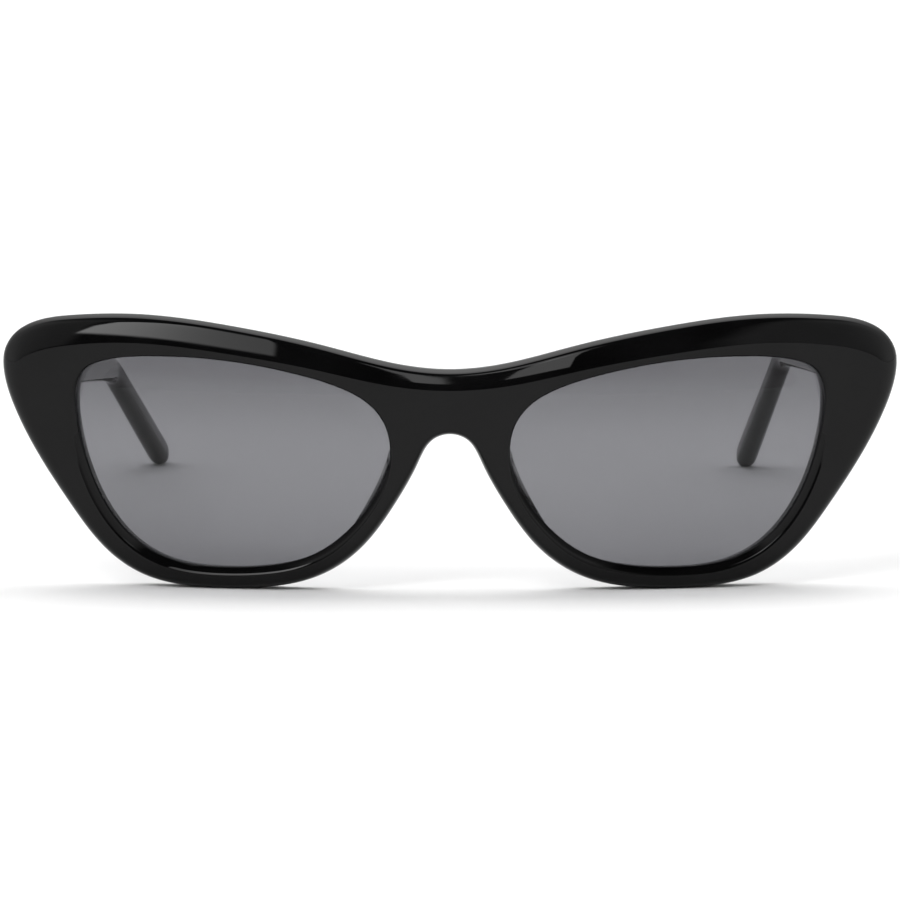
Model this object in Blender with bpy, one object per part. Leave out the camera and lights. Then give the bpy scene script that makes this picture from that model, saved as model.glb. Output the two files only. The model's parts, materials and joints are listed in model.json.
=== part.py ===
"""Cat-eye sunglasses: acetate front and temples, tinted lenses, five-barrel sunk hinges.

The front is drawn flat and then wrapped: u runs sideways along the wrap, v runs up, and depth runs
back from the front surface. Wrapping gives the frame's own axes: X sideways (the wearer's left is +X),
Y back, Z up. The whole frame then leans forward on its lower rims and stands on the temple tips.
Dimensions are millimetres; MM turns them into metres.
"""

import math

import bpy
import bmesh
import numpy as np
from mathutils import Vector

MM = 0.001

# Front: wrap, stance and thickness
WRAP_RADIUS = 230.0
CROWN_RADIUS = 400.0
LEAN = math.radians(3.6)
DATUM_HEIGHT = 22.05
FRONT_DEPTH = 4.8
EDGE_ROUND = 0.7
OUTER_WALL_START = 3.3

# Outline of one half, from the top of the bridge round to the nose arch: u, v, the inset at which the
# flat face ends, and how much of that inset is a flat brow facet (1) rather than a round edge (0)
OUTLINE = (
    (0.0, 13.8, 2.7, 1.0),
    (9.0, 14.7, 2.9, 1.0),
    (20.8, 17.5, 3.3, 1.0),
    (35.7, 20.3, 3.7, 1.0),
    (51.0, 21.8, 3.9, 1.0),
    (63.5, 21.2, 4.2, 1.0),
    (69.9, 19.9, 4.5, 0.8),
    (73.2, 17.9, 4.5, 0.5),
    (74.8, 15.2, 4.2, 0.25),
    (74.9, 12.0, 3.7, 0.1),
    (73.0, 6.0, 3.0, 0.0),
    (68.8, -1.7, 2.6, 0.0),
    (63.4, -9.5, 2.4, 0.0),
    (56.9, -17.1, 2.0, 0.0),
    (50.6, -20.9, 1.7, 0.0),
    (44.0, -22.3, 1.5, 0.0),
    (37.0, -22.6, 1.5, 0.0),
    (29.5, -22.1, 1.5, 0.0),
    (22.0, -20.3, 1.4, 0.0),
    (14.7, -15.5, 1.3, 0.0),
    (8.8, -7.7, 1.2, 0.0),
    (5.2, -1.2, 1.1, 0.0),
    (2.6, 2.8, 1.0, 0.0),
    (0.0, 3.6, 1.0, 0.0),
)

# Lens opening of one half, from the nose side over the top: u, v
LENS_OPENING = (
    (9.75, 2.2),
    (10.7, 5.6),
    (13.3, 8.8),
    (17.6, 11.2),
    (23.3, 13.0),
    (31.0, 14.6),
    (40.0, 15.6),
    (48.5, 15.7),
    (55.8, 14.95),
    (60.2, 12.95),
    (61.75, 9.6),
    (61.75, 4.8),
    (60.1, -2.4),
    (56.35, -10.15),
    (51.0, -15.6),
    (45.0, -18.15),
    (37.5, -18.85),
    (29.5, -18.35),
    (22.5, -16.45),
    (16.3, -11.9),
    (11.7, -5.7),
    (9.8, -0.8),
)

# Chamfer round the opening: outset and depth from its foot at the lens to the face, and how much of it
# there is at these places on the opening, counted in its points. The brow side has only a small round edge.
CHAMFER = ((0.05, 1.25), (0.88, 0.225), (1.22, 0.0))
CHAMFER_SHARE = (
    (0.0, 0.25),
    (9.0, 0.25),
    (10.1, 0.4),
    (11.2, 0.75),
    (12.0, 1.0),
    (18.5, 1.0),
    (19.8, 0.8),
    (20.8, 0.4),
    (21.6, 0.25),
)

# Which place on the opening faces which place on the outline, both counted in their points
FACING = (
    (0.0, 1.6),
    (1.0, 2.3),
    (2.0, 3.7),
    (3.0, 5.5),
    (4.0, 7.1),
    (6.0, 8.6),
    (8.0, 9.4),
    (10.0, 10.8),
    (11.0, 11.9),
    (12.0, 12.9),
    (13.0, 13.9),
    (15.0, 15.1),
    (17.0, 17.0),
    (18.0, 18.0),
    (20.0, 19.9),
    (21.0, 20.8),
    (23.0, 21.7),
)

# Lens and its groove
LENS_THICKNESS = 1.8
LENS_MIDDLE = 2.45
LENS_BULGE = 1.2
LENS_BEVEL = 0.9
LENS_INSET = 0.15
GROOVE = 0.95
BACK_LIP = 0.45

# Nose pads
PAD_HEIGHT = 6.2
PAD_GAP = 0.2
PAD_SPAN = (19.0, 21.8)
PAD_MIDDLE = 0.55

# Hinge: the joint plane stands behind the bridge, the axis behind the joint plane
JOINT_PLANE = 19.0
JOINT_GAP = 0.15
HINGE_HEIGHT = 12.3
TEMPLE_INNER = 66.4
AXIS_BEHIND = 1.55
AXIS_INBOARD = 1.6
KNUCKLE_RADIUS = 1.25
KNUCKLE_LENGTH = 1.4
KNUCKLE_PITCH = 1.5
SCREW_HOLE = 0.78
SCREW_RADIUS = 0.65
SCREW_HEAD_RADIUS = 1.1
SCREW_HEAD_HEIGHT = 0.6
LEAF_THICKNESS = 1.15
LEAF_HEIGHT = 7.8
FRONT_LEAF_WIDTH = 4.0
TEMPLE_LEAF_LENGTH = 9.0
POCKET_GAP = 0.12

# End piece of the front, which carries the hinge
LUG_INNER = 61.3
LUG_OUTER = 70.5
LUG_HEIGHT = 10.4
LUG_ROUND = 1.8
LUG_SUNK = 0.6

# Temples. Each was bent to fit by hand, so the two differ a little.
TEMPLE_THICKNESS = 3.8
TIP_THICKNESS = 3.1
BEND_RADIUS = 16.0
TIP_ROUND = 4.5
TEMPLE_CORNER = 1.0
EAR_CORNER = 1.4
TEMPLE_HEIGHTS = ((0.0, 9.4), (12.0, 8.8), (40.0, 6.6), (70.0, 5.4), (100.0, 4.7), (118.0, 4.7), (150.0, 5.0))
TEMPLE_FIT = {
    "left": {
        "pitch": 8.7,
        "inward": 3.5,
        "bend_at": 107.6,
        "drop": 27.8,
        "ear_inward": 4.7,
        "ear_length": 42.0,
    },
    "right": {
        "pitch": 10.4,
        "inward": 2.7,
        "bend_at": 114.7,
        "drop": 22.95,
        "ear_inward": 9.4,
        "ear_length": 38.0,
    },
}

# Steel core of each temple
CORE_THICKNESS = 0.9
CORE_HEIGHT = 1.4
CORE_SHIFT = 0.45
CORE_GAP = 0.15
CORE_START = 1.2
CORE_END = 12.0

SIDES = {"left": 1, "right": -1}


# ---------------------------------------------------------------- curves


def spline(points, closed):
    """A smooth curve through the points, counted in points. Its first two columns set the spacing."""
    knots = np.array(points, dtype=float)
    if closed:
        knots = np.vstack([knots, knots[0]])
    step = np.hypot(*np.diff(knots[:, :2], axis=0).T)
    rise = np.diff(knots, axis=0) / step[:, None]
    count = len(knots)
    system = np.zeros((count, count))
    right = np.zeros_like(knots)
    for i in range(1, count - 1):
        system[i, i - 1 : i + 2] = step[i], 2 * (step[i - 1] + step[i]), step[i - 1]
        right[i] = 3 * (step[i] * rise[i - 1] + step[i - 1] * rise[i])
    if closed:
        system[0, 0], system[0, -1] = 1, -1
        system[-1, [0, 1, -2, -1]] = 2 * step[-1], step[-1], step[0], 2 * step[0]
        right[-1] = 3 * (step[-1] * rise[0] + step[0] * rise[-1])
    else:
        system[0, 0] = system[-1, -1] = 1
        right[0, 0], right[-1, 0] = 1, -1
    slope = np.linalg.solve(system, right)

    def place(t):
        t = t % (count - 1) if closed else min(max(t, 0.0), count - 1.0)
        i = min(int(t), count - 2)
        s, h = t - i, step[i]
        return (
            (1 + 2 * s) * (1 - s) ** 2 * knots[i]
            + s * (1 - s) ** 2 * h * slope[i]
            + s * s * (3 - 2 * s) * knots[i + 1]
            + s * s * (s - 1) * h * slope[i + 1]
        )

    return place


outline = spline(OUTLINE, closed=False)
opening = spline(LENS_OPENING, closed=True)


def offset(curve, t, distance):
    """The point at this distance to the right of the curve's way, where both outlines have their inside."""
    along = curve(t + 1e-3)[:2] - curve(t - 1e-3)[:2]
    along /= np.hypot(*along)
    return curve(t)[:2] + distance * np.array((along[1], -along[0]))


def facing(t):
    stations = np.array(FACING)
    return float(np.interp(t, stations[:, 0], stations[:, 1]))


def wrap(u, v, depth):
    """From the flat drawing to the frame's own axes."""
    radius = WRAP_RADIUS - depth
    back = WRAP_RADIUS - radius * math.cos(u / WRAP_RADIUS) + v * v / (2 * CROWN_RADIUS)
    return Vector((radius * math.sin(u / WRAP_RADIUS), back, v))


def wrapped_back(x, v, depth):
    """How far back the wrapped sheet at this depth lies."""
    return WRAP_RADIUS - math.sqrt((WRAP_RADIUS - depth) ** 2 - x * x) + v * v / (2 * CROWN_RADIUS)


# ---------------------------------------------------------------- objects


def material(name, colour, roughness, metallic=0.0, transmission=0.0):
    made = bpy.data.materials.new(name)
    made.use_nodes = True
    shader = made.node_tree.nodes["Principled BSDF"]
    shader.inputs["Base Color"].default_value = (*colour, 1)
    shader.inputs["Roughness"].default_value = roughness
    shader.inputs["Metallic"].default_value = metallic
    shader.inputs["Transmission Weight"].default_value = transmission
    made.diffuse_color = (*colour, 1)
    return made


def add_object(name, points, faces, parent, look=None):
    """A mesh object from points in millimetres in its parent's axes."""
    mesh = bpy.data.meshes.new(name)
    mesh.from_pydata([Vector(p) * MM for p in points], [], faces)
    shape = bmesh.new()
    shape.from_mesh(mesh)
    bmesh.ops.recalc_face_normals(shape, faces=shape.faces)
    shape.to_mesh(mesh)
    shape.free()
    mesh.shade_smooth()
    mesh.set_sharp_from_angle(angle=math.radians(30))
    made = bpy.data.objects.new(name, mesh)
    bpy.context.scene.collection.objects.link(made)
    made.parent = parent
    if look:
        mesh.materials.append(look)
    return made


def add_tool(name, points, faces, parent):
    """A helper shape for a Boolean, which isn't a piece."""
    tool = add_object(name, points, faces, parent)
    tool.hide_render = True
    tool.display_type = "WIRE"
    return tool


def combine(target, tool, operation):
    step = target.modifiers.new(tool.name, "BOOLEAN")
    step.operation = operation
    step.solver = "EXACT"
    step.object = tool


def add_empty(name, parent, location):
    made = bpy.data.objects.new(name, None)
    bpy.context.scene.collection.objects.link(made)
    made.parent = parent
    made.location = Vector(location) * MM
    return made


def tube_faces(rings, count, first=0):
    """Quads between rings of the same number of points, and a cap on each end."""
    faces = []
    for ring in range(rings - 1):
        base = first + ring * count
        for i in range(count):
            j = (i + 1) % count
            faces.append((base + i, base + j, base + count + j, base + count + i))
    faces.append(tuple(first + i for i in range(count)))
    faces.append(tuple(first + (rings - 1) * count + i for i in range(count)))
    return faces


def circle(radius, sides, start=0.0, sweep=2 * math.pi):
    closing = 0 if abs(sweep - 2 * math.pi) < 1e-9 else 1
    angles = [start + sweep * i / (sides - closing) for i in range(sides)]
    return [(radius * math.cos(a), radius * math.sin(a)) for a in angles]


def prism(section, low, high):
    """Points and faces of a section in X and Y, drawn up from low to high."""
    points = [(x, y, z) for z in (low, high) for x, y in section]
    return points, tube_faces(2, len(section))


# ---------------------------------------------------------------- front


def outer_profile(t):
    """Inset and depth of the points from the face's edge over the outer wall to the back."""
    inset, facet = outline(t)[2:]
    shape = []
    for part in (0.0, 0.35, 0.7, 1.0):
        turn = part * math.pi / 2
        round_edge = (inset * (1 - math.sin(turn)), 2.4 * (1 - math.cos(turn)))
        brow = (inset * (1 - part) ** 0.8, (0.0, 0.55, 1.35, OUTER_WALL_START)[len(shape)])
        shape.append(tuple(facet * a + (1 - facet) * b for a, b in zip(brow, round_edge)))
    shape.append((0.0, FRONT_DEPTH - EDGE_ROUND))
    shape.append((EDGE_ROUND, FRONT_DEPTH))
    return shape


def inner_profile(around):
    """Outset from the lens opening and depth, from the back over the groove to the face."""
    places = np.array(CHAMFER_SHARE)
    share = float(np.interp(around % len(LENS_OPENING), places[:, 0], places[:, 1]))
    shape = [
        (BACK_LIP + 0.3, FRONT_DEPTH),
        (BACK_LIP, LENS_MIDDLE + GROOVE - BACK_LIP),
        (GROOVE, LENS_MIDDLE),
        (0.0, LENS_MIDDLE - GROOVE),
    ]
    return shape + [(share * outset, share * depth) for outset, depth in CHAMFER]


def front_spokes(per_point, across_bridge):
    """Rings round the rim's section. Those across the bridge have no outer wall, only face and back."""
    spokes = []
    last = len(OUTLINE) - 1
    for t in np.linspace(0, last, last * per_point + 1):
        around = facing(t)
        outer = [(*offset(outline, t, inset), depth) for inset, depth in outer_profile(t)]
        inner = [(*offset(opening, around, -outset), depth) for outset, depth in inner_profile(around)]
        spokes.append((outer, inner))
    low, high = spokes[-1][0], spokes[0][0]
    start, end = facing(last), facing(0) + len(LENS_OPENING)
    for part in np.linspace(0, 1, across_bridge + 2)[1:-1]:
        face = (0.0, (1 - part) * low[0][1] + part * high[0][1], 0.0)
        back = (0.0, (1 - part) * low[-1][1] + part * high[-1][1], FRONT_DEPTH)
        around = start + part * (end - start)
        inner = [(*offset(opening, around, -outset), depth) for outset, depth in inner_profile(around)]
        spokes.append(([face, back], inner))
    return spokes


def build_front(parent, look):
    spokes = front_spokes(per_point=3, across_bridge=4)
    points, rings = [], []
    for outer, inner in spokes:
        ring = []
        for u, v, depth in outer + inner:
            ring.append(len(points))
            points.append(wrap(0.0 if abs(u) < 1e-2 else u, v, depth))
        rings.append((ring[: len(outer)], ring[len(outer) :]))
    faces = []
    for (outer_a, inner_a), (outer_b, inner_b) in zip(rings, rings[1:] + rings[:1]):
        whole = len(outer_a) == len(outer_b) > 2
        if whole:
            loop_a, loop_b = outer_a + inner_a, outer_b + inner_b
            closing = len(loop_a)
        else:
            loop_a, loop_b = [outer_a[-1], *inner_a, outer_a[0]], [outer_b[-1], *inner_b, outer_b[0]]
            closing = len(loop_a) - 1
        for i in range(closing):
            j = (i + 1) % len(loop_a)
            faces.append((loop_a[i], loop_a[j], loop_b[j], loop_b[i]))
    mirrored = [(-x, y, z) for x, y, z in points]
    both = [tuple(i + len(points) for i in reversed(face)) for face in faces]
    front = add_object("frame_front", points + mirrored, faces + both, parent, look)
    shape = bmesh.new()
    shape.from_mesh(front.data)
    bmesh.ops.remove_doubles(shape, verts=[v for v in shape.verts if v.co.x == 0.0], dist=1e-5)
    bmesh.ops.recalc_face_normals(shape, faces=shape.faces)
    shape.to_mesh(front.data)
    shape.free()
    for side, sign in SIDES.items():
        combine(front, build_lug(side, sign, parent), "UNION")
        combine(front, build_leaf_pocket(side, sign, parent), "DIFFERENCE")
    return front


def rounded_box(half_width, half_height, corner, per_corner):
    """Corner-rounded rectangle as points round it."""
    section = []
    for quarter in range(4):
        turn = quarter * math.pi / 2
        centre_x = (half_width - corner) * (1 if quarter in (0, 3) else -1)
        centre_y = (half_height - corner) * (1 if quarter in (0, 1) else -1)
        for x, y in circle(corner, per_corner, turn, math.pi / 2):
            section.append((centre_x + x, centre_y + y))
    return section


def build_lug(side, sign, parent):
    """The block behind the end of the front, which ends at the joint plane."""
    middle = (LUG_INNER + LUG_OUTER) / 2
    width = (LUG_OUTER - LUG_INNER) / 2
    ends = ((None, 0.0), (JOINT_PLANE - 0.9, 0.0), (JOINT_PLANE - JOINT_GAP, 0.5))
    points = []
    for back, less in ends:
        for x, z in rounded_box(width - less, LUG_HEIGHT / 2 - less, LUG_ROUND, 4):
            x, z = middle + x, HINGE_HEIGHT + z
            points.append((sign * x, back or wrapped_back(x, z, FRONT_DEPTH - LUG_SUNK), z))
    return add_tool(f"{side}_lug", points, tube_faces(3, 16), parent)


# ---------------------------------------------------------------- lenses and nose pads


def build_lens(side, sign, parent, look):
    """A sheet with a V-shaped edge that sits in the groove. It curves more than the front and so bulges."""
    around = np.linspace(0, len(LENS_OPENING), 3 * len(LENS_OPENING) // 2 * 2 + 1)[:-1]
    centre = np.mean([opening(t) for t in around], axis=0)
    front, back = LENS_MIDDLE - LENS_THICKNESS / 2, LENS_MIDDLE + LENS_THICKNESS / 2
    points = [wrap(*centre, front - LENS_BULGE), wrap(*centre, back - LENS_BULGE)]
    rings = []
    plan = [(0.3, front), (0.62, front), (0.88, front), (1.0, front), ("edge", LENS_MIDDLE)]
    plan += [(1.0, back), (0.88, back), (0.62, back), (0.3, back)]
    for share, depth in plan:
        bulge = 0.0 if share == "edge" else LENS_BULGE * (1 - share * share)
        ring = []
        for t in around:
            if share == "edge":
                u, v = offset(opening, t, LENS_INSET - LENS_BEVEL)
            else:
                u, v = centre + share * (offset(opening, t, LENS_INSET) - centre)
            ring.append(len(points))
            points.append(wrap(u, v, depth - bulge))
        rings.append(ring)
    faces = []
    count = len(around)
    for i in range(count):
        j = (i + 1) % count
        faces.append((0, rings[0][i], rings[0][j]))
        faces.append((1, rings[-1][j], rings[-1][i]))
        for a, b in zip(rings, rings[1:]):
            faces.append((a[i], a[j], b[j], b[i]))
    points = [(sign * x, y, z) for x, y, z in points]
    return add_object(f"{side}_lens", points, faces, parent, look)


def outline_facing(around):
    """The place on the outline that faces this place on the opening."""
    stations = np.array(FACING)
    return float(np.interp(around, stations[:, 1], stations[:, 0]))


def build_nose_pad(side, sign, parent, look):
    """A fin along the nose side of the rim, leaning away from the nose."""
    section = (
        (0.10, 0.0),
        (0.22, 0.45),
        (0.42, 0.85),
        (0.68, 1.0),
        (0.98, 0.97),
        (1.16, 0.80),
        (1.12, 0.40),
        (0.92, 0.0),
    )
    points = []
    stations = 0.5 - 0.485 * np.cos(np.linspace(0, math.pi, 13))
    for part in stations:
        around = PAD_SPAN[0] + part * (PAD_SPAN[1] - PAD_SPAN[0])
        near = outline(outline_facing(around))[:2]
        far = opening(around)
        height = PAD_HEIGHT * math.sin(math.pi * part) ** 0.8
        spread = 0.55 + 0.45 * math.sin(math.pi * part) ** 0.8
        for across, rise in section:
            u, v = near + (PAD_MIDDLE + spread * (across - PAD_MIDDLE)) * (far - near)
            x, y, z = wrap(u, v, FRONT_DEPTH + PAD_GAP + rise * height)
            points.append((sign * x, y, z))
    faces = tube_faces(len(stations), len(section))
    return add_object(f"{side}_nose_pad", points, faces, parent, look)


# ---------------------------------------------------------------- hinges, in the hinge's own axes


def knuckle_section(neck_end, sign):
    """Barrel round the axis with a neck to the leaf. neck_end is where the neck meets the leaf."""
    if neck_end[0] == 0:
        arc = circle(KNUCKLE_RADIUS, 13, 0.0, math.pi)
        return [*arc, (-KNUCKLE_RADIUS, neck_end[1]), (KNUCKLE_RADIUS, neck_end[1])]
    arc = circle(KNUCKLE_RADIUS, 13, math.pi / 2, math.pi)
    section = [*arc, (neck_end[0], -KNUCKLE_RADIUS), (neck_end[0], KNUCKLE_RADIUS)]
    return [(sign * x, y) for x, y in section]


def knuckle_heights(which):
    """Low and high ends of the knuckles with these numbers, counted from the lowest."""
    for number in which:
        middle = (number - 2) * KNUCKLE_PITCH
        yield middle - KNUCKLE_LENGTH / 2, middle + KNUCKLE_LENGTH / 2


def add_knuckles(leaf, name, which, neck_end, sign, parent):
    points, faces = [], []
    for low, high in knuckle_heights(which):
        more, more_faces = prism(knuckle_section(neck_end, sign), low, high)
        faces += [tuple(i + len(points) for i in face) for face in more_faces]
        points += more
    combine(leaf, add_tool(f"{name}_knuckles", points, faces, parent), "UNION")
    hole = prism(circle(SCREW_HOLE, 20), -6.0, 6.0)
    combine(leaf, add_tool(f"{name}_hole", *hole, parent), "DIFFERENCE")


def front_leaf_plate(sign, gap):
    """Plate let into the back of the end piece, flush with its joint face."""
    face = -AXIS_BEHIND - JOINT_GAP
    outer = 1.3 + gap
    inner = outer - FRONT_LEAF_WIDTH - 2 * gap
    deep = face - LEAF_THICKNESS - gap
    open_side = face + (1.0 if gap else 0.0)
    corners = ((inner, deep), (outer, deep), (outer, open_side), (inner, open_side))
    section = [(sign * x, y) for x, y in corners]
    half = LEAF_HEIGHT / 2 + gap
    return prism(section, -half, half)


def temple_leaf_plate(sign, gap, slope):
    """Plate let into the inner face of the temple, following its slope."""
    face = AXIS_INBOARD
    deep = face + LEAF_THICKNESS + gap
    near = -AXIS_BEHIND + JOINT_GAP + (-1.0 if gap else 0.0)
    far = TEMPLE_LEAF_LENGTH + gap
    half = LEAF_HEIGHT / 2 - 0.8 + gap
    points = []
    for y in (near, far):
        along = y + AXIS_BEHIND - JOINT_GAP
        drop = -slope * along
        side = -math.tan(inward_of(sign)) * along
        open_side = face + side - (1.0 if gap else 0.0)
        for x, z in ((open_side, -half), (deep + side, -half), (deep + side, half), (open_side, half)):
            points.append((sign * x, y, z + drop))
    return points, tube_faces(2, 4)


def inward_of(sign):
    side = "left" if sign > 0 else "right"
    return math.radians(TEMPLE_FIT[side]["inward"])


def build_leaf_pocket(side, sign, parent):
    points, faces = front_leaf_plate(sign, POCKET_GAP)
    axis = axis_place(sign)
    points = [tuple(a + b for a, b in zip(point, axis)) for point in points]
    return add_tool(f"{side}_front_pocket", points, faces, parent)


def axis_place(sign):
    return (sign * (TEMPLE_INNER - AXIS_INBOARD), JOINT_PLANE + AXIS_BEHIND, HINGE_HEIGHT)


def build_front_hinge(side, sign, parent, look):
    holder = add_empty(f"{side}_front_hinge_axis", parent, axis_place(sign))
    leaf = add_object(f"{side}_front_hinge", *front_leaf_plate(sign, 0.0), holder, look)
    neck_end = (0, -AXIS_BEHIND - JOINT_GAP - 0.5)
    add_knuckles(leaf, f"{side}_front", (0, 2, 4), neck_end, sign, holder)
    return leaf


def build_screw(side, sign, parent, look):
    """Shank through the five knuckles and a head on the uppermost, turned round the axis."""
    top = 2 * KNUCKLE_PITCH + KNUCKLE_LENGTH / 2 + 0.08
    profile = (
        (SCREW_RADIUS, -top),
        (SCREW_RADIUS, top),
        (SCREW_HEAD_RADIUS, top),
        (SCREW_HEAD_RADIUS, top + 0.6 * SCREW_HEAD_HEIGHT),
        (0.6 * SCREW_HEAD_RADIUS, top + SCREW_HEAD_HEIGHT),
    )
    sides = 20
    points = [(x, y, z) for radius, z in profile for x, y in circle(radius, sides)]
    holder = add_empty(f"{side}_screw_axis", parent, axis_place(sign))
    return add_object(f"{side}_hinge_screw", points, tube_faces(len(profile), sides), holder, look)


# ---------------------------------------------------------------- temples, in the hinge's own axes


def temple_path(fit):
    """Stations down the temple: distance, middle point, way along it, and pitch below level."""
    straight = fit["bend_at"] - BEND_RADIUS * math.radians(fit["drop"]) / 2
    curve = BEND_RADIUS * math.radians(fit["drop"])
    ear_end = straight + curve + fit["ear_length"] - curve / 2
    distances = [0.0, 3.0, 8.0, 15.0, 26.0, 40.0, 58.0, 76.0]
    distances += list(np.linspace(straight, straight + curve, 6))
    distances += list(np.linspace(straight + curve, ear_end, 6)[1:])
    distances += [ear_end + TIP_ROUND * math.sin(a) for a in np.radians((20, 40, 58, 73, 84))]
    place = np.array((AXIS_INBOARD + TEMPLE_THICKNESS / 2, -AXIS_BEHIND + JOINT_GAP, 0.0))
    stations = []
    reached = 0.0
    for distance in distances:
        steps = max(1, math.ceil(distance - reached))
        for i in range(steps):
            middle = reached + (distance - reached) * (i + 0.5) / steps
            place = place + temple_way(middle, fit, straight, curve) * (distance - reached) / steps
        reached = distance
        tip = max(0.0, (distance - ear_end) / TIP_ROUND)
        stations.append((distance, place, temple_way(distance, fit, straight, curve), tip))
    return stations


def temple_way(distance, fit, straight, curve):
    """Unit direction of a temple on the +X side at this distance from its butt."""
    bent = min(max((distance - straight) / curve, 0.0), 1.0)
    pitch = math.radians(fit["pitch"] + fit["drop"] * bent)
    inward = math.radians(fit["inward"] + fit["ear_inward"] * bent)
    level = math.cos(pitch)
    return np.array((-math.sin(inward) * level, math.cos(inward) * level, -math.sin(pitch)))


def temple_section(station, half_width, half_height, corner, sign, butt):
    """A rounded section square to the path, or lying in the butt plane."""
    _, place, way, _ = station
    up = np.array((0.0, -way[2], way[1]))
    up /= np.linalg.norm(up)
    across = np.cross(way, up)
    points = []
    for x, z in rounded_box(half_width, half_height, corner, 4):
        point = place + across * x + up * z
        if butt:
            point = point - way * (point[1] - place[1]) / way[1]
        points.append((sign * point[0], point[1], point[2]))
    return points


def temple_corner(distance):
    """The radius of the long edges, which grows towards the ear."""
    return float(np.interp(distance, (60.0, 110.0), (TEMPLE_CORNER, EAR_CORNER)))


def build_temple(side, sign, parent, look):
    """The bent temple with the channel for its core, open at the butt, and the pocket for its leaf."""
    stations = temple_path(TEMPLE_FIT[side])
    reach = stations[-1][0]
    heights = np.array(TEMPLE_HEIGHTS)
    points = []
    for number, station in enumerate(stations):
        distance, _, _, tip = station
        height = float(np.interp(distance, heights[:, 0], heights[:, 1]))
        thickness = TEMPLE_THICKNESS + (TIP_THICKNESS - TEMPLE_THICKNESS) * distance / reach
        half_height = height / 2 * math.sqrt(max(1 - tip * tip, 0.0))
        half_width = thickness / 2 * (1 - tip**3) ** 0.5
        corner = min(temple_corner(distance), 0.9 * half_height, 0.9 * half_width)
        points += temple_section(station, half_width, half_height, corner, sign, number == 0)
    temple = add_object(f"{side}_temple", points, tube_faces(len(stations), 16), parent, look)
    channel = core_tube(side, sign, CORE_GAP, -1.0, 1.0)
    combine(temple, add_tool(f"{side}_channel", *channel, parent), "DIFFERENCE")
    slope = math.tan(math.radians(TEMPLE_FIT[side]["pitch"]))
    pocket = temple_leaf_plate(sign, POCKET_GAP, slope)
    combine(temple, add_tool(f"{side}_temple_pocket", *pocket, parent), "DIFFERENCE")
    return temple


def core_tube(side, sign, gap, start, extra):
    """The flat steel core, or the channel round it. It runs on the outer side of the temple's middle."""
    stations = [s for s in temple_path(TEMPLE_FIT[side]) if s[3] == 0.0]
    end = stations[-1][0] - CORE_END + extra
    kept = [s for s in stations if 3.0 < s[0] < end - 2.0]
    first = shifted(stations[0], start)
    last = shifted(kept[-1], end - kept[-1][0])
    points = []
    for station in [first, *kept, last]:
        distance, place, way, tip = station
        place = place + np.array((CORE_SHIFT * (1 - distance / end), 0.0, 0.0))
        half_width, half_height = CORE_THICKNESS / 2 + gap, CORE_HEIGHT / 2 + gap
        points += temple_section((distance, place, way, tip), half_width, half_height, 0.3, sign, False)
    return points, tube_faces(len(kept) + 2, 16)


def shifted(station, distance):
    return (station[0] + distance, station[1] + station[2] * distance, station[2], station[3])


def build_core(side, sign, parent, look):
    return add_object(f"{side}_core_wire", *core_tube(side, sign, 0.0, CORE_START, 0.0), parent, look)


def build_temple_hinge(side, sign, parent, look):
    slope = math.tan(math.radians(TEMPLE_FIT[side]["pitch"]))
    leaf = add_object(f"{side}_temple_hinge", *temple_leaf_plate(sign, 0.0, slope), parent, look)
    neck_end = (AXIS_INBOARD + 0.5, 0)
    add_knuckles(leaf, f"{side}_temple", (1, 3), neck_end, sign, parent)
    return leaf


# ---------------------------------------------------------------- whole frame


def flatten_on_floor(piece):
    """Gives the piece a small flat where it stands on the floor."""
    to_floor = piece.matrix_world
    back = to_floor.inverted()
    for vertex in piece.data.vertices:
        place = to_floor @ vertex.co
        if place.z < 0:
            place.z = 0
            vertex.co = back @ place


def centre_over_origin(root, pieces):
    """Moves the frame along Y so that its box stands centred on the origin."""
    corners = [(piece.matrix_world @ v.co).y for piece in pieces for v in piece.data.vertices]
    root.location.y -= (min(corners) + max(corners)) / 2


def main():
    for old in list(bpy.data.objects):
        bpy.data.objects.remove(old)
    acetate = material("black_acetate", (0.012, 0.012, 0.013), 0.08)
    pad_acetate = material("pad_acetate", (0.02, 0.02, 0.021), 0.15)
    tint = material("grey_lens", (0.06, 0.06, 0.065), 0.02, transmission=0.6)
    steel = material("hinge_steel", (0.62, 0.62, 0.63), 0.3, metallic=1.0)
    screw_steel = material("screw_steel", (0.7, 0.7, 0.7), 0.25, metallic=1.0)
    core_steel = material("core_steel", (0.5, 0.5, 0.52), 0.4, metallic=1.0)

    root = add_empty("front_axes", None, (0, 0, DATUM_HEIGHT))
    root.rotation_euler.x = LEAN
    pieces = [build_front(root, acetate)]
    for side, sign in SIDES.items():
        build_lens(side, sign, root, tint)
        build_nose_pad(side, sign, root, pad_acetate)
        build_front_hinge(side, sign, root, steel)
        build_screw(side, sign, root, screw_steel)
        fold = add_empty(f"{side}_fold_axis", root, axis_place(sign))
        pieces.append(build_temple(side, sign, fold, acetate))
        build_temple_hinge(side, sign, fold, steel)
        build_core(side, sign, fold, core_steel)
    bpy.context.view_layer.update()
    for piece in pieces:
        flatten_on_floor(piece)
    centre_over_origin(root, pieces)


main()
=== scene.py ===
"""Looks of the cat-eye sunglasses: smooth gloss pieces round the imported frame, studio light and camera.

The front is drawn flat and wrapped, as in the CAD: u runs sideways along the wrap, v up, depth back.
Wrapping gives the frame's own axes (X sideways, Y back, Z up, in millimetres). stand() leans the frame
forward on its lower rims and gives metres in the row frame.
"""

import json
import math

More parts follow.
